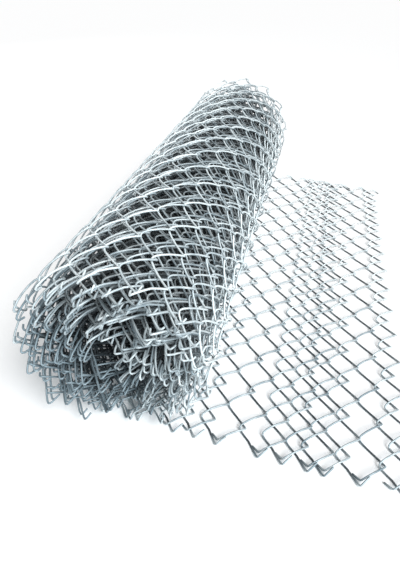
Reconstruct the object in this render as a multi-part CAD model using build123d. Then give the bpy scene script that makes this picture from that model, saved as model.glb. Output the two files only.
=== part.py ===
"""Roll of chain-link wire fencing, lying on its side with the last of its length drawn out flat beside it.

The fabric is a row of flattened wire spirals. Each spiral runs the full height of the fence, zigzags through
the one before it and is knuckled to its neighbours at both edges. The wound turns are one turned solid with a
bore, sagged flat where it lies, and every spiral of the drawn-out tail is a wire of its own, hooked through
the next.

+Z is up and the roll's axis lies along Y. The origin is on the floor, under the middle of the whole.
"""

import math
import os

from build123d import *

# Fence fabric
FENCE_HEIGHT = 1000.0  # from one knuckled edge to the other
WIRE = 3.0  # wire diameter
HALF_ROWS = 27  # half diamonds across the height
STRAND_STEP = 3.5  # between the centres of a spiral's upper and lower strands
HOOK_CLEARANCE = 0.6  # between the two wires where one spiral hooks the next
KNUCKLE_LEG = 14.0  # wire turned back along the neighbour at a knuckled end

# Wound turns
ROLL_RADIUS = 148.0
ROLL_SAG = 4.0  # how far the turns have sagged flat on the floor
BORE_RADIUS = 34.0
TURNS = 17
ROLL_LENGTH = 996.0  # between the crests of the two ends, without their wander
TURN_GROOVE = 7.0  # from a crest down to the groove on the next turn's far side
END_WANDER = 9.0  # how far the turns' edges stray along the axis
WANDER_TURNS = 5.3  # turns in one swing of that wander
ROLL_RUN_OUT = 12.0  # how far the roll has crept past the tail's near edge

# Drawn-out tail
TAIL_SEAT = 0.3  # between the first spiral and the flank of the roll

# How far each spiral is drawn out from the one before it, at the near and at the far edge, as shares of
# the full pitch. Taut spirals have 1, and bunched ones have little or have slid back a little.
NEAR_SHARES = (0.54, 0.54, 0.54, 0.54, 1.0, 1.0, 1.0, 0.15, 0.95, 0.2, 1.0, -0.25, 1.0, 0.6, 1.0, 1.0, 0.4)
FAR_SHARES = (0.98, 0.98, 0.98, 0.98, 0.9, 0.5, 0.6, 0.25, 0.75, 0.3, 0.5, -0.1, 0.9, 0.55, 0.95, 1.0, 0.2)

# Sizes that follow from those above
WIRE_SIDE = WIRE * math.sqrt(math.pi) / 2  # square bar of the wire's own section area
WIRE_CORNER = WIRE_SIDE / math.sqrt(2)  # from the bar's middle to its corner
HALF_ROW = (FENCE_HEIGHT - 2 * WIRE_CORNER) / HALF_ROWS
SPIRAL_WIDTH = HALF_ROW  # corner to corner of the centreline, which makes the diamonds square
HOOK_LAP = (WIRE_SIDE + HOOK_CLEARANCE) * math.sqrt(2)
FULL_PITCH = SPIRAL_WIDTH - HOOK_LAP
FABRIC = STRAND_STEP + WIRE_SIDE  # thickness of the flat fabric
LEG_REACH = KNUCKLE_LEG / math.sqrt(2)  # a knuckle's leg measured across or along the fence
TURN_PITCH = (ROLL_RADIUS - BORE_RADIUS) / TURNS


def turn_edge(turn):
    """Where the seam inside a turn stands along the axis: a crest and a groove by turns, wandering a little."""
    wander = END_WANDER * math.sin(2 * math.pi * turn / WANDER_TURNS)
    return ROLL_LENGTH / 2 + wander - TURN_GROOVE * (turn % 2)


def wound_roll():
    """All wound turns as one turned solid. Each turn is a sloping ring of its own on both ends."""
    seams = [(BORE_RADIUS + turn * TURN_PITCH, turn_edge(turn)) for turn in range(TURNS + 1)]
    far_end = [(radius, edge) for radius, edge in seams]
    near_end = [(radius, -edge) for radius, edge in reversed(seams)]
    turned = revolve(make_face(Polyline(*far_end, *near_end, close=True)), axis=Axis.Y)
    floor = Plane.XY.offset(ROLL_SAG - ROLL_RADIUS)
    return split(turned, bisect_by=floor, keep=Keep.TOP)


def spiral_points(starts_left, near_knuckle=True, far_knuckle=True):
    """Centreline of a spiral standing along Y. Its rising strands run above the falling ones."""
    low = WIRE_SIDE / 2
    high = low + STRAND_STEP
    sides = [-1 if (m % 2 == 0) == starts_left else 1 for m in range(HALF_ROWS + 1)]
    corners = [(side * SPIRAL_WIDTH / 2, (m - HALF_ROWS / 2) * HALF_ROW) for m, side in enumerate(sides)]
    levels = [high if side < 0 else low for side in sides]

    points = []
    if near_knuckle:
        x, y = corners[0]
        folded = low + high - levels[0]
        points.append((x + sides[0] * LEG_REACH, y + LEG_REACH, folded))
        points.append((x, y, folded))
    for m in range(HALF_ROWS):
        points.append((*corners[m], levels[m]))
        points.append((*corners[m + 1], levels[m]))
    if far_knuckle:
        x, y = corners[HALF_ROWS]
        folded = levels[HALF_ROWS]
        points.append((x, y, folded))
        points.append((x + sides[HALF_ROWS] * LEG_REACH, y - LEG_REACH, folded))
    return points


def wire_along(points):
    """A square bar bent along the points, with mitred corners."""
    start = Vector(*points[0])
    ahead = Vector(*points[1]) - start
    across = Vector(0, 0, 1).cross(ahead)
    section = Plane(origin=start, x_dir=across, z_dir=ahead) * Rectangle(WIRE_SIDE, WIRE_SIDE)
    return sweep(section, path=Polyline(*points), transition=Transition.RIGHT)


def tail_places():
    """Where each tail spiral lies: its middle, and how far it leans away from the roll's axis."""
    flank = math.sqrt((ROLL_RADIUS + TAIL_SEAT) ** 2 - (ROLL_RADIUS - ROLL_SAG - FABRIC) ** 2)
    near = far = flank + WIRE_CORNER + SPIRAL_WIDTH / 2
    places = [(near, 0, 0)]
    for near_share, far_share in zip(NEAR_SHARES, FAR_SHARES):
        near += near_share * FULL_PITCH
        far += far_share * FULL_PITCH
        x, y, lean = places[-1]
        middle = (near + far) / 2
        new_lean = math.atan2(far - near, FENCE_HEIGHT)
        places.append((middle, y - (middle - x) * (lean + new_lean) / 2, new_lean))
    return places


def main():
    places = tail_places()
    spirals = [wire_along(spiral_points(starts_left)) for starts_left in (False, True)]
    wires = [spirals[i % 2] for i in range(len(places))]
    wires[0] = wire_along(spiral_points(False, far_knuckle=False))
    ends_left = len(places) % 2 == 0  # the last spiral starts at its left corner, so its far corner is free
    wires[-1] = wire_along(spiral_points(ends_left, near_knuckle=ends_left, far_knuckle=not ends_left))

    parts = {"wound_roll": Pos(0, -ROLL_RUN_OUT, ROLL_RADIUS - ROLL_SAG) * wound_roll()}
    for i, (x, y, lean) in enumerate(places):
        parts[f"tail_spiral_{i + 1:02d}"] = Pos(x, y, 0) * Rot(0, 0, -math.degrees(lean)) * wires[i]

    middle = Compound(list(parts.values())).bounding_box().center()
    os.makedirs("parts", exist_ok=True)
    for name, shape in parts.items():
        export_step(Pos(-middle.X, -middle.Y, 0) * shape, f"parts/{name}.step")


main()
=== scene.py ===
import math
import random

import bpy
import numpy as np
from mathutils import Matrix, Vector


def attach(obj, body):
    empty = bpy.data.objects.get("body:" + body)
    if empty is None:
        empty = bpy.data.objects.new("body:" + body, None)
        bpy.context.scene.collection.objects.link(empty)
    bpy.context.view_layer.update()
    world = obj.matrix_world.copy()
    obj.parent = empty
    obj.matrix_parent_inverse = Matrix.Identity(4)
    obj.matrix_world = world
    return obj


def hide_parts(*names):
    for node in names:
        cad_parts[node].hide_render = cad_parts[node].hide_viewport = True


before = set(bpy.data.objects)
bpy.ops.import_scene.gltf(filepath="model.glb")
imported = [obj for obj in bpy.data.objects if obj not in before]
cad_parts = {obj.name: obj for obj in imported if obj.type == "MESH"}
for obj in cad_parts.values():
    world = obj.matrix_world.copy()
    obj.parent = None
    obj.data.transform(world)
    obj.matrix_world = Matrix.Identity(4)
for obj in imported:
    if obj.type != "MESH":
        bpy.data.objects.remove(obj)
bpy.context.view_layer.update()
print("frame loaded:", len(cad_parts), "nodes")

scene = bpy.context.scene
scene.view_settings.view_transform = "Standard"
circle = 2 * math.pi


class Val:
    # a socket of any node tree, so that sums can be written as sums
    def __init__(self, tree, socket=None):
        self.tree = tree
        self.socket = socket

    def add(self, kind, settings=None, sockets=None, out=0):  # any other node: type, settings, then sockets
        node = self.tree.nodes.new(kind)
        for name, value in (settings or {}).items():
            if name == "stops":
                for element, (place, colour) in zip(node.color_ramp.elements, value):
                    element.position = place
                    element.color = colour
            else:
                setattr(node, name, value)
        for name, value in (sockets or {}).items():
            if isinstance(value, Val):
                self.tree.links.new(value.socket, node.inputs[name])
            else:
                node.inputs[name].default_value = value
        return Val(self.tree, node.outputs[out] if len(node.outputs) else None)

    def also(self, out):  # another output of the same node
        return Val(self.tree, self.socket.node.outputs[out])

    def math(self, operation, *terms):
        return self.add("ShaderNodeMath", {"operation": operation}, dict(enumerate(terms)))

    def vec(self, operation, *terms):
        return self.add("ShaderNodeVectorMath", {"operation": operation}, dict(enumerate(terms)))

    def scaled(self, share):  # a vector times a number
        return self.add("ShaderNodeVectorMath", {"operation": "SCALE"}, {0: self, "Scale": share})

    def __add__(self, other):
        return self.math("ADD", self, other)

    def __radd__(self, other):
        return self.math("ADD", other, self)

    def __sub__(self, other):
        return self.math("SUBTRACT", self, other)

    def __rsub__(self, other):
        return self.math("SUBTRACT", other, self)

    def __mul__(self, other):
        return self.math("MULTIPLY", self, other)

    def __rmul__(self, other):
        return self.math("MULTIPLY", other, self)

    def __truediv__(self, other):
        return self.math("DIVIDE", self, other)

    def __rtruediv__(self, other):
        return self.math("DIVIDE", other, self)

    def __pow__(self, other):
        return self.math("POWER", self, other)

    def __gt__(self, other):
        return self.math("GREATER_THAN", self, other)

    def __lt__(self, other):
        return self.math("LESS_THAN", self, other)


# zinc coat of the wire: pale and dull by clouds and by spiral, with fine stains, and painted shade where it
# is hidden
zinc = {
    "pale": (0.66, 0.72, 0.735, 1),
    "dull": (0.21, 0.268, 0.30, 1),
    "dullBelow": 0.30,
    "paleAbove": 0.62,
    "toneShare": 0.5,  # how much goes by the spiral's own tone, which carries painted shade and highlight too, the rest by the clouds
    "cloudScale": 55.0,
    "cloudDetail": 3.0,
    "grainScale": 900.0,
    "grainDetail": 2.0,
    "stain": (0.16, 0.175, 0.18, 1),
    "stainFrom": 0.60,
    "stainFull": 0.74,
    "stainMost": 0.5,
    # painted shade: its colour, and how much of it at most
    "paintedShade": (0.014, 0.018, 0.021, 1),
    "paintedShadeMost": 0.9,
    "metal": 0.22,
    "shine": 0.35,
    "rough": 0.30,
    "roughGrain": 0.16,
    "roughDull": 0.10,
    "bump": 0.12,
    "bumpHeight": 0.0004,
}


def makeZinc():
    material = bpy.data.materials.new("galvanisedWire")
    material.use_nodes = True
    material.node_tree.nodes.clear()
    graph = Val(material.node_tree)
    place = graph.add("ShaderNodeTexCoord", out=3)
    cloud = graph.add("ShaderNodeTexNoise", {}, {
        "Vector": place, "Scale": zinc["cloudScale"], "Detail": zinc["cloudDetail"]})
    grain = graph.add("ShaderNodeTexNoise", {}, {
        "Vector": place, "Scale": zinc["grainScale"], "Detail": zinc["grainDetail"]})
    # the spiral's tone: random, with painted shade on the roll's left and a painted highlight on the tail's
    # far part
    tone = graph.add("ShaderNodeAttribute", {"attribute_name": "tone"}, out=2)
    mask = cloud * (1 - zinc["toneShare"]) + tone * zinc["toneShare"]
    stops = [(zinc["dullBelow"], zinc["dull"]), (zinc["paleAbove"], zinc["pale"])]
    coat = graph.add("ShaderNodeValToRGB", {"stops": stops}, {"Fac": mask})
    stains = graph.add("ShaderNodeMapRange", {}, {
        "Value": grain, "From Min": zinc["stainFrom"], "From Max": zinc["stainFull"],
        "To Max": zinc["stainMost"]})
    colour = graph.add("ShaderNodeMix", {"data_type": "RGBA"}, {0: stains, 6: coat, 7: zinc["stain"]}, out=2)
    # painted shade, laid on by the weave where wires lie deep in the roll or on the floor
    paintedShade = graph.add("ShaderNodeAttribute", {"attribute_name": "paintedShade"}, out=2) * zinc["paintedShadeMost"]
    colour = graph.add("ShaderNodeMix", {"data_type": "RGBA"}, {0: paintedShade, 6: colour, 7: zinc["paintedShade"]}, out=2)
    rough = zinc["rough"] + zinc["roughGrain"] * grain + zinc["roughDull"] * (1 - mask)
    bump = graph.add("ShaderNodeBump", {}, {
        "Strength": zinc["bump"], "Distance": zinc["bumpHeight"], "Height": grain})
    shader = graph.add("ShaderNodeBsdfPrincipled", {}, {
        "Base Color": colour, "Metallic": zinc["metal"], "Specular IOR Level": zinc["shine"],
        "Roughness": rough, "Normal": bump})
    graph.add("ShaderNodeOutputMaterial", {}, {"Surface": shader})
    return material


zincWire = makeZinc()
print("zinc coat made")


# the weave: one zigzag wire for each guide point, laid out by the point's own three directions
weave = {
    "halfRows": 27,
    "row": 0.0369,
    "width": 0.0366,
    "wire": 0.0030,
    "pitch": 0.0323,
    "cluster": 0.85,  # how closely a wire's points gather at its corners
    "corner": 0.945,  # nearer to 1 for sharper corners
    "tipStep": 0.0045,  # how far a hooked tip is moved out or in
    "tipReach": 0.5,  # in half rows, as legRise is
    "legRise": 0.2,
    "looseFrom": 0.33,  # from the fence's middle line, as the next three are
    "looseFull": 0.5,
    # painted shade deep inside the roll fades in between these two
    "shadeFrom": 0.500,
    "shadeFull": 0.452,
    # painted highlight towards the far edge fades in between these two
    "highlightFrom": -0.3,  # the same, below zero on the near side
    "highlightFull": 0.3,
    "wanderScale": 9.0,
    "wanderDetail": 1.0,
    "groundShare": 0.52,  # lowest place of a wire's middle, in wire thicknesses
}
weaveInputs = [
    ("Guides", "NodeSocketGeometry"),
    ("Strand Points", "NodeSocketInt"),
    ("Leg Points", "NodeSocketInt"),
    ("Sides", "NodeSocketInt"),
    ("Half Thickness", "NodeSocketFloat"),
    ("Arch", "NodeSocketFloat"),
    ("Arch Below", "NodeSocketFloat"),
    # painted shade on the strands of the lower face
    ("Shade Below", "NodeSocketFloat"),
    # a painted highlight towards the far edge
    ("Highlight Far", "NodeSocketFloat"),
    ("Tip Round", "NodeSocketFloat"),
    ("Leg Slope", "NodeSocketFloat"),
    ("Leg Lift", "NodeSocketFloat"),
    ("Wander", "NodeSocketFloat"),
    ("Splay", "NodeSocketFloat"),
    ("Seed", "NodeSocketFloat"),
    ("Coat", "NodeSocketMaterial"),
]


def makeWeaveTree():
    tree = bpy.data.node_groups.new("chainWeave", "GeometryNodeTree")
    for name, kind in weaveInputs:
        tree.interface.new_socket(name, in_out="INPUT", socket_type=kind)
    tree.interface.new_socket("Wires", in_out="OUTPUT", socket_type="NodeSocketGeometry")
    source = tree.nodes.new("NodeGroupInput")
    given = {name: Val(tree, source.outputs[name]) for name, _ in weaveInputs}
    graph = Val(tree)
    halfHeight = weave["halfRows"] / 2

    def attribute(name, kind="FLOAT"):
        return graph.add("GeometryNodeInputNamedAttribute", {"data_type": kind}, {"Name": name})

    def ramp(value, low, high, kind="LINEAR"):  # 0 at low, 1 at high
        return graph.add("ShaderNodeMapRange", {"interpolation_type": kind}, {
            "Value": value, "From Min": low, "From Max": high})

    # a short run of points for every guide, whose points are all placed further down
    count = given["Strand Points"] * weave["halfRows"] + given["Leg Points"] * 2 + 1
    run = graph.add("GeometryNodeCurvePrimitiveLine", {}, {"End": (0, 0.001, 0)})
    run = graph.add("GeometryNodeResampleCurve", {"mode": "COUNT"}, {"Curve": run, "Count": count})
    runs = graph.add("GeometryNodeInstanceOnPoints", {}, {"Points": given["Guides"], "Instance": run})
    runs = graph.add("GeometryNodeRealizeInstances", {}, {"Geometry": runs})

    # where along the spiral a point is, with more points near the corners than on the strands
    index = graph.add("GeometryNodeSplineParameter", out=2)
    raw = (index - given["Leg Points"]) / given["Strand Points"]
    whole = graph.math("FLOOR", raw)
    part = raw - whole
    share = whole + part - graph.math("SINE", part * circle) * (weave["cluster"] / circle)
    fromMiddle = share - halfHeight
    end = graph.math("SIGN", fromMiddle)  # the near edge or the far one
    reach = halfHeight - graph.math("ABSOLUTE", fromMiddle)  # below zero on a knuckle's leg
    edge = graph.math("SMOOTH_MAX", reach, reach * -1, given["Tip Round"])  # folded back round the knuckle

    # across the spiral: a zigzag with rounded corners, and at each end a knuckle with a leg of its own slope
    wave = graph.math("COSINE", share * math.pi) * weave["corner"]
    zigzag = graph.math("ARCSINE", wave) * (1 / math.asin(weave["corner"]))
    leg = graph.math("SMOOTH_MIN", reach * -2, reach * -1 * given["Leg Slope"], given["Tip Round"])
    knuckle = end * (-1 - leg)
    side = attribute("side")
    atTip = reach < 0.5  # the outer half of the last strand, and the leg
    across = side * (zigzag + atTip * (knuckle - zigzag)) * (weave["width"] / 2)

    # through the spiral: rising strands on one face, falling ones on the other
    lift = graph.math("SINE", share * math.pi)
    bow = graph.math("ABSOLUTE", lift)
    face = graph.math("SIGN", lift) * side * -1
    upper = face > 0
    lower = face < 0
    through = face * bow ** 0.5 * given["Half Thickness"]  # steep at a corner, then nearly flat
    through = through + bow * upper * given["Arch"] - bow * lower * given["Arch Below"]
    through = through + face * ramp(reach, 0.0, -weave["legRise"]) * given["Leg Lift"]
    along = end * (halfHeight - edge) * weave["row"]

    # hooked pairs: every other spiral's tip reaches a little further out
    along = along + end * side * ramp(edge, weave["tipReach"], 0.0) * weave["tipStep"]

    # loose ends bend in and out near both edges
    outwards = graph.math("ABSOLUTE", along)
    loose = ramp(outwards, weave["looseFrom"], weave["looseFull"], "SMOOTHSTEP")
    through = through + loose * attribute("splay") * given["Splay"]

    # the three put together, with a slow wander, and nothing sinks into the ground
    place = attribute("centre", "FLOAT_VECTOR")
    for name, amount in (("across", across), ("along", along), ("through", through)):
        place = graph.vec("ADD", place, attribute(name, "FLOAT_VECTOR").scaled(amount))
    noise = graph.add("ShaderNodeTexNoise", {"noise_dimensions": "4D"}, {
        "Vector": place, "W": given["Seed"],
        "Scale": weave["wanderScale"], "Detail": weave["wanderDetail"]}, out=1)
    drift = graph.vec("SUBTRACT", noise, (0.5, 0.5, 0.5)).scaled(given["Wander"] * 2)  # noise is about a half
    place = graph.vec("ADD", place, drift)
    parts = graph.add("ShaderNodeSeparateXYZ", {}, {0: place})
    height = graph.math("MAXIMUM", parts.also(2), weave["wire"] * weave["groundShare"])
    place = graph.add("ShaderNodeCombineXYZ", {}, {0: parts, 1: parts.also(1), 2: height})
    wires = graph.add("GeometryNodeSetPosition", {}, {"Geometry": runs, "Position": place})

    # what the coat reads: painted shade on the ground side and deep inside, and a painted highlight towards
    # the far edge
    inside = ramp(outwards, weave["shadeFrom"], weave["shadeFull"], "SMOOTHSTEP") * attribute("depth")
    paintedShade = graph.math("MAXIMUM", lower * bow * given["Shade Below"], inside)
    tone = attribute("tone") + ramp(along, weave["highlightFrom"], weave["highlightFull"]) * given["Highlight Far"]
    for name, value in (("paintedShade", paintedShade), ("tone", tone)):
        wires = graph.add("GeometryNodeStoreNamedAttribute", {"data_type": "FLOAT", "domain": "POINT"}, {
            "Geometry": wires, "Name": name, "Value": value})

    ring = graph.add("GeometryNodeCurvePrimitiveCircle", {}, {
        "Resolution": given["Sides"], "Radius": weave["wire"] / 2})
    wires = graph.add("GeometryNodeCurveToMesh", {}, {
        "Curve": wires, "Profile Curve": ring, "Fill Caps": True})
    wires = graph.add("GeometryNodeSetShadeSmooth", {}, {"Geometry": wires})
    wires = graph.add("GeometryNodeRealizeInstances", {}, {"Geometry": wires})
    wires = graph.add("GeometryNodeSetMaterial", {}, {"Geometry": wires, "Material": given["Coat"]})
    result = tree.nodes.new("NodeGroupOutput")
    tree.links.new(wires.socket, result.inputs[0])
    return tree


weaveTree = makeWeaveTree()
print("weave tree made")

guideVectors = ("centre", "across", "along", "through")
guideNumbers = ("side", "splay", "tone", "depth")


def weaveWires(name, guides, settings):
    mesh = bpy.data.meshes.new(name + "Guides")
    mesh.from_pydata([tuple(guide["centre"]) for guide in guides], [], [])
    for key in guideVectors:
        values = np.array([tuple(guide[key]) for guide in guides], dtype=np.float32)
        mesh.attributes.new(key, "FLOAT_VECTOR", "POINT").data.foreach_set("vector", values.ravel())
    for key in guideNumbers:
        values = np.array([guide[key] for guide in guides], dtype=np.float32)
        mesh.attributes.new(key, "FLOAT", "POINT").data.foreach_set("value", values)
    carrier = bpy.data.objects.new(name + "Guides", mesh)
    scene.collection.objects.link(carrier)
    nodes = carrier.modifiers.new("weave", "NODES")
    nodes.node_group = weaveTree
    items = weaveTree.interface.items_tree
    sockets = {item.name: item.identifier for item in items if item.in_out == "INPUT"}
    for key, value in settings.items():
        nodes[sockets[key]] = value
    nodes[sockets["Coat"]] = zincWire
    made = carrier.evaluated_get(bpy.context.evaluated_depsgraph_get())
    wires = bpy.data.objects.new(name, bpy.data.meshes.new_from_object(made))
    wires.data.name = name
    for key in guideVectors + guideNumbers:
        if key != "tone":  # the coat still reads the tone
            wires.data.attributes.remove(wires.data.attributes[key])
    scene.collection.objects.link(wires)
    bpy.data.objects.remove(carrier)
    wires.data.calc_loop_triangles()
    print(name, len(guides), "spirals,", len(wires.data.loop_triangles), "triangles")
    return wires


# the drawn-out tail lies where its nodes lie
tail = {
    "height": 0.0044,
    "knuckle": 0.03,  # left out at each end when a spiral's line is found
    "seed": 11,
    "toneRange": (0.15, 0.45),
    "settings": {
        "Strand Points": 10, "Leg Points": 4, "Sides": 8,
        "Half Thickness": 0.0030, "Arch": 0.0045, "Arch Below": 0.0,
        # the tail's lower strands lie on the floor and get painted shade; its far part gets a painted
        # highlight
        "Shade Below": 1.0, "Highlight Far": 0.6,
        "Tip Round": 0.12, "Leg Slope": 2.0, "Leg Lift": 0.0,
        "Wander": 0.0009, "Splay": 0.0, "Seed": 3.0,
    },
}


def tailGuides():
    dice = random.Random(tail["seed"])
    guides = []
    for i, name in enumerate(sorted(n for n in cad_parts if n.startswith("tail_spiral"))):
        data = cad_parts[name].data
        spots = np.empty(len(data.vertices) * 3)
        data.vertices.foreach_get("co", spots)
        spots = spots.reshape(-1, 3)
        low, high = spots[:, 1].min(), spots[:, 1].max()
        inside = spots[(spots[:, 1] > low + tail["knuckle"]) & (spots[:, 1] < high - tail["knuckle"])]
        slope, start = np.polyfit(inside[:, 1], inside[:, 0], 1)
        middle = (low + high) / 2
        lean = math.atan(slope)
        guides.append({
            "centre": Vector((start + slope * middle, middle, tail["height"])),
            "across": Vector((math.cos(lean), -math.sin(lean), 0)),
            "along": Vector((math.sin(lean), math.cos(lean), 0)),
            "through": Vector((0, 0, 1)),
            "side": 1 if i % 2 == 0 else -1,
            "splay": 0.0,
            "depth": 0.0,
            "tone": dice.uniform(*tail["toneRange"])})
    return guides


tailLines = tailGuides()
tailWires = weaveWires("tailWires", tailLines, tail["settings"])

# the wound turns: the fabric runs in under the roll from the tail, up the left flank and on inwards
# a turn is counted from the floor: a quarter of it is the left, a half the top, three quarters the right
roll = {
    "axis": (-0.15481, 0.144),  # x and z
    "middle": -0.0023,
    "floorGap": 0.0044,
    "outerEnd": 1.08,  # turns in the loose outer layer
    "radii": [  # turn and radius
        (0.0, 0.1385), (0.1, 0.1395), (0.25, 0.1408), (0.45, 0.1415), (0.8, 0.1400), (0.95, 0.1375),
        (1.08, 0.1320), (5.2, 0.1120), (5.5, 0.1080), (9.0, 0.0915), (9.3, 0.0875), (12.6, 0.0710),
        (12.9, 0.0675), (18.2, 0.0405)],
    "counts": [  # spirals to a turn, from that turn on
        (0.0, 27.1), (2.4, 25.8), (3.4, 25.0), (5.2, 20.2), (9.0, 16.15), (12.6, 12.1), (16.0, 10.1)],
    "sway": [(0.10, 2.3), (0.05, 5.1)],  # spirals pushed together and apart: how far, and how fast by turn
    "outOfStep": 0.8,  # low on the left each turn is shifted by up to so many spirals
    "outOfStepAt": 0.12,
    "outOfStepPace": 2.4,
    "outOfStepFrom": 0.4,
    "leftGap": 0.003,  # the tight inner turns have sunk away from the loose outer one on the left
    "leftGapAngle": 1.3,
    "leftGapTurns": 12,
    "calmTurns": 1.2,  # the first turn lies neatly
    "twistSpread": 5.0,
    "leanSpread": 0.25,
    "slipSpread": 0.004,
    "wander": 0.007,
    "wanderPace": 1.9,
    "wanderStart": 0.6,
    "flare": 1.3,  # a loose loop stands off at the upper left
    "flareAt": 0.34,
    "flareWidth": 0.1,
    "coreSplayFrom": 12,
    "coreSplayTurns": 4,
    "toneRange": (0.25, 0.7),
    "calmTone": 0.4,
    "shadeStart": 0.6,  # the left lies away from the light
    # painted shade deep in the roll: turn, and how much
    "depths": [(1.0, 0.0), (2.0, 0.08), (3.0, 0.33), (4.0, 0.6), (7.0, 0.95), (10.0, 1.0)],
    "seed": 5,
    "outerLayer": {
        "slip": [(0.0, 0.015), (0.2, 0.0), (0.35, -0.004), (0.6, 0.0), (0.85, 0.006), (1.08, 0.015)],
        "shadeTone": 0.5,
        "shadeDepth": 0.05,
    },
    "innerLayers": {
        "slip": [(0.0, 0.015), (0.05, 0.0), (0.13, -0.018), (0.2, -0.012), (0.28, -0.004), (0.5, 0.0),
                 (0.85, 0.004), (0.93, 0.014), (1.0, 0.015)],
        "shadeTone": 0.8,
        "shadeDepth": 0.45,
    },
}


def fromTable(table, turn):
    return np.interp(turn, *zip(*table))


def turnPlace(turn):
    # a point of the fabric's middle, in the plane across the roll
    axisX, axisZ = roll["axis"]
    radius = fromTable(roll["radii"], turn)
    angle = circle * turn
    if turn > 1:
        fade = max(0, 1 - (turn - 1) / roll["leftGapTurns"])
        radius -= roll["leftGap"] * max(0, math.cos(angle - roll["leftGapAngle"])) * fade
    height = max(axisZ - radius * math.cos(angle), roll["floorGap"])
    return axisX - radius * math.sin(angle), height, turn


def turnLinks():
    # along the floor from the tail's first spiral, then so many spirals to each turn
    axisX = roll["axis"][0]
    first = tailLines[0]["centre"].x - weave["pitch"] / 2
    steps = max(1, round((first - axisX) / weave["pitch"]))
    links = [(first + (axisX - first) * i / steps, roll["floorGap"], 0.0) for i in range(steps)]
    fine = 0.001  # of a turn
    turns = np.arange(0, roll["radii"][-1][0], fine)
    starts, counts = zip(*roll["counts"])
    rate = np.array(counts)[np.searchsorted(starts, turns, side="right") - 1]
    wound = np.cumsum(rate) * fine
    for size, pace in roll["sway"]:
        wound += size * np.sin(pace * turns)
    low = np.clip(np.cos(circle * (turns - roll["outOfStepAt"])), 0, 1) ** 2
    layer = np.floor(turns + roll["outOfStepFrom"])
    wound += roll["outOfStep"] * np.sin(roll["outOfStepPace"] * layer) * low
    for i in range(int(wound[-1])):
        links.append(turnPlace(np.interp(i, wound, turns)))
    return links


def turnGuides():
    dice = random.Random(roll["seed"])
    links = turnLinks()
    guides = []
    for i, (here, ahead) in enumerate(zip(links, links[1:])):
        across = Vector((here[0] - ahead[0], 0, here[1] - ahead[1])).normalized()
        along = Vector((0, 1, 0))
        turn = (here[2] + ahead[2]) / 2
        outer = turn < roll["outerEnd"]
        layer = roll["outerLayer"] if outer else roll["innerLayers"]
        calm = min(1.0, turn / roll["calmTurns"])
        twist = math.radians(dice.gauss(0, roll["twistSpread"]) * calm)
        lean = math.radians(dice.gauss(0, roll["leanSpread"]) * calm)
        across = Matrix.Rotation(twist, 3, along) @ across
        through = across.cross(along)
        spin = Matrix.Rotation(lean, 3, through)
        slip = roll["wander"] * math.sin(turn * roll["wanderPace"] + roll["wanderStart"]) * calm
        slip += dice.gauss(0, roll["slipSpread"]) * calm
        slip += fromTable(layer["slip"], turn if outer else turn % 1)
        flare = roll["flare"] * max(0, 1 - ((turn - roll["flareAt"]) / roll["flareWidth"]) ** 2)
        coreSplay = max(0, (turn - roll["coreSplayFrom"]) / roll["coreSplayTurns"])
        splay = dice.gauss(0, 1) * calm + coreSplay - flare
        # painted shade: the left side, away from the light, is darkened in the tone and gets more painted
        # shade deep in
        shade = max(0, math.sin(circle * turn + roll["shadeStart"]))
        tone = dice.uniform(*roll["toneRange"]) + roll["calmTone"] * (1 - calm) - shade * layer["shadeTone"]
        guides.append({
            "centre": Vector(((here[0] + ahead[0]) / 2, roll["middle"] + slip, (here[1] + ahead[1]) / 2)),
            "across": spin @ across,
            "along": spin @ along,
            "through": through,
            "side": -1 if i % 2 == 0 else 1,
            "splay": splay,
            "tone": tone,
            "depth": min(1, fromTable(roll["depths"], turn) + shade * layer["shadeDepth"]),
            "turn": turn})
    return guides


turnSettings = {
    "Strand Points": 6, "Leg Points": 3, "Sides": 6,
    "Half Thickness": 0.0036, "Arch": 0.001, "Arch Below": 0.002,
    "Tip Round": 0.3, "Leg Slope": 0.3, "Leg Lift": 0.001,
    "Wander": 0.0026, "Splay": 0.006, "Seed": 1.0,
}
turnPieces = [  # name, first and last turn, and the settings that are its own
    ("outerTurn", 0.0, roll["outerEnd"], {
        "Strand Points": 8, "Sides": 8, "Half Thickness": 0.0034, "Arch Below": 0.0022,
        "Wander": 0.0022, "Splay": 0.003}),
    ("secondTurns", roll["outerEnd"], 3.6, {"Strand Points": 8, "Arch Below": 0.0018, "Splay": 0.005}),
    ("thirdTurns", 3.6, 6.3, {"Strand Points": 8, "Arch Below": 0.0015, "Splay": 0.005}),
    ("middleTurns", 6.3, 10.6, {}),
    ("innerTurns", 10.6, 14.3, {"Half Thickness": 0.0034}),
    ("coreTurns", 14.3, 18.5, {"Half Thickness": 0.0032, "Arch": 0.0005, "Splay": 0.010}),
]
allTurns = turnGuides()
print("wound spirals:", len(allTurns))
turnWires = []
for name, low, high, own in turnPieces:
    guides = [guide for guide in allTurns if low <= guide["turn"] < high]
    turnWires.append(weaveWires(name, guides, {**turnSettings, **own}))

for piece in turnWires:
    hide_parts("wound_roll")
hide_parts(*sorted(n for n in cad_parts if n.startswith("tail_spiral")))
for piece in turnWires + [tailWires]:
    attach(piece, "root")
print("wires placed")


# floor and sky: both look white, and the floor keeps the shadow
studio = {
    "floorSize": 30.0,
    "floorColour": (0.98, 0.985, 0.99, 1),
    "white": (1, 1, 1, 1),
    "glow": 0.57,  # share of plain white in the open floor
    "contact": 0.20,  # the glow fades within this of the wire
    "contactSamples": 8,
    "sky": 0.10,  # strength of the sky as a lamp
}


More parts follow.
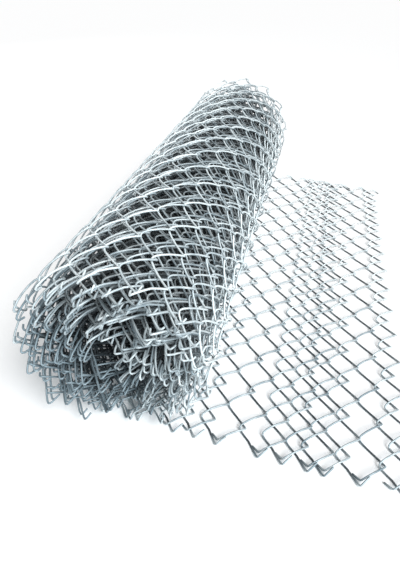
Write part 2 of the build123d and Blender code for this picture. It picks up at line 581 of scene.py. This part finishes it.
def makeFloor():
    mesh = bpy.data.meshes.new("floor")
    half = studio["floorSize"] / 2
    corners = [(-half, -half, 0), (half, -half, 0), (half, half, 0), (-half, half, 0)]
    mesh.from_pydata(corners, [], [(0, 1, 2, 3)])
    floor = bpy.data.objects.new("floor", mesh)
    scene.collection.objects.link(floor)
    material = bpy.data.materials.new("paleFloor")
    material.use_nodes = True
    material.node_tree.nodes.clear()
    graph = Val(material.node_tree)
    ray = graph.add("ShaderNodeLightPath")
    seen = graph.math("MAXIMUM", ray, ray.also("Is Glossy Ray"))
    matte = graph.add("ShaderNodeBsdfDiffuse", {}, {"Color": studio["floorColour"]})
    white = graph.add("ShaderNodeEmission", {}, {"Color": studio["white"], "Strength": 1.0})
    clear = graph.add("ShaderNodeAmbientOcclusion", {"samples": studio["contactSamples"]}, {
        "Distance": studio["contact"]}, out=1)  # low where the roll lies
    glow = seen * clear * clear * studio["glow"]
    both = graph.add("ShaderNodeMixShader", {}, {0: glow, 1: matte, 2: white})
    graph.add("ShaderNodeOutputMaterial", {}, {"Surface": both})
    mesh.materials.append(material)


def makeSky():
    world = bpy.data.worlds.new("studio")
    scene.world = world
    world.use_nodes = True
    world.node_tree.nodes.clear()
    graph = Val(world.node_tree)
    ray = graph.add("ShaderNodeLightPath")
    seen = graph.math("MAXIMUM", ray, ray.also("Is Glossy Ray"))
    seen = graph.math("MAXIMUM", seen, ray.also("Is Transmission Ray"))
    strength = studio["sky"] + seen * (1 - studio["sky"])
    sky = graph.add("ShaderNodeBackground", {}, {"Color": studio["white"], "Strength": strength})
    graph.add("ShaderNodeOutputWorld", {}, {"Surface": sky})


# a wide soft sun from the right, and two weak lamps for the near end and the back
sun = {"comesFrom": (0.8, -0.4, 1.05), "spread": 34, "strength": 3.6}
lamps = {
    "fillLamp": {"place": (1.1, -1.9, 1.1), "aim": (-0.1, -0.4, 0.1), "size": 1.2, "power": 20,
                 "colour": (0.74, 0.91, 1.0)},
    "backLamp": {"place": (-1.9, 1.2, 1.1), "aim": (-0.2, 0.1, 0.12), "size": 1.2, "power": 16,
                 "colour": (0.90, 0.96, 1.0)},
}


def aimed(direction):  # a lamp shines down its own z
    return direction.to_track_quat("-Z", "Y").to_euler()


def makeSun():
    lamp = bpy.data.lights.new("keySun", "SUN")
    lamp.angle = math.radians(sun["spread"])
    lamp.energy = sun["strength"]
    thing = bpy.data.objects.new("keySun", lamp)
    thing.rotation_euler = aimed(-Vector(sun["comesFrom"]))
    scene.collection.objects.link(thing)


def makeLamp(name, own):
    lamp = bpy.data.lights.new(name, "AREA")
    lamp.shape = "DISK"
    lamp.size = own["size"]
    lamp.energy = own["power"]
    lamp.color = own["colour"]
    thing = bpy.data.objects.new(name, lamp)
    thing.location = own["place"]
    thing.rotation_euler = aimed(Vector(own["aim"]) - Vector(own["place"]))
    scene.collection.objects.link(thing)


# the photo's view, found from the rows of links in the tail
view = {
    "place": (0.0434, -0.8383, 0.6012),
    "yaw": 12.60,
    "pitch": 39.46,
    "tip": 3.15,
    "sensor": 36.0,  # the long side of the picture
    "lens": 26.53,
    "clipStart": 0.02,
}


def makeCamera():
    camera = bpy.data.cameras.new("photoCamera")
    camera.sensor_width = view["sensor"]
    camera.lens = view["lens"]
    camera.clip_start = view["clipStart"]
    thing = bpy.data.objects.new("photoCamera", camera)
    yaw, pitch, tip = (math.radians(view[key]) for key in ("yaw", "pitch", "tip"))
    ahead = Vector((-math.sin(yaw) * math.cos(pitch), math.cos(yaw) * math.cos(pitch), -math.sin(pitch)))
    level = Vector((math.cos(yaw), math.sin(yaw), 0))
    upright = level.cross(ahead)
    right = math.cos(tip) * level + math.sin(tip) * upright
    up = -math.sin(tip) * level + math.cos(tip) * upright
    turn = Matrix((right, up, -ahead)).transposed().to_4x4()
    thing.matrix_world = Matrix.Translation(view["place"]) @ turn
    scene.collection.objects.link(thing)
    scene.camera = thing


makeFloor()
makeSky()
makeSun()
for name, own in lamps.items():
    makeLamp(name, own)
makeCamera()
print("studio made")
